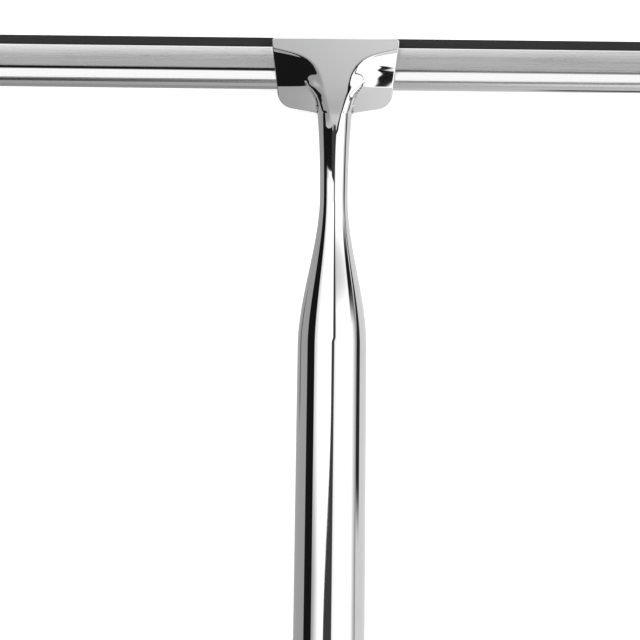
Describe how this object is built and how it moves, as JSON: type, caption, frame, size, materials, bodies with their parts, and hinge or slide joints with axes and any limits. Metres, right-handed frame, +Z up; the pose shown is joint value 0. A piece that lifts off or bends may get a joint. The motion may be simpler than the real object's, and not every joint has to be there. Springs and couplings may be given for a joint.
{
  "type": "shower squeegee",
  "caption": "T-shaped chrome shower squeegee: a rubber blade in a folded channel, clamped in a cast head on a tapered grip with a hanging ring.",
  "frame": {"origin": "under the middle of the squeegee's box, on the surface that it lies on", "axes": "+X along the blade, +Y from the handle's foot to the blade, +Z up through the head's front face"},
  "size_m": [0.2514, 0.258, 0.024],
  "materials": {
    "cast_chrome": "polished chrome on a zinc casting",
    "cap_chrome": "polished chrome",
    "channel_steel": "stainless, bright along the bead and finely brushed on the flange",
    "wiper_rubber": "smooth black",
    "seal_rubber": "smooth black",
    "screw_steel": "turned stainless",
    "clip_steel": "pressed stainless",
    "eye_steel": "polished stainless",
    "ring_steel": "polished wire"
  },
  "bodies": {
    "squeegee": {"handle_casting": "cast_chrome", "blade_channel": "channel_steel", "back_jaw": "cast_chrome", "jaw_screws": "screw_steel", "left_clip": "clip_steel", "end_cap": "cap_chrome", "cap_seal": "seal_rubber", "hanging_eye": "eye_steel", "eye_washer": "screw_steel", "eye_nut": "screw_steel"},
    "wiper": {"wiper_rubber": "wiper_rubber", "right_clip": "clip_steel"},
    "ring": {"hanging_ring": "ring_steel"}
  },
  "joints": [
    {"name": "wiper_slide", "type": "slide", "parent": "squeegee", "child": "wiper", "axis": [1, 0, 0], "range_m": [0, 0.2]},
    {"name": "ring_swing", "type": "hinge", "parent": "squeegee", "child": "ring", "pos_m": [0, -0.11212, 0.012], "axis": [1, 0, 0], "range_deg": [-130, 55]}
  ]
}
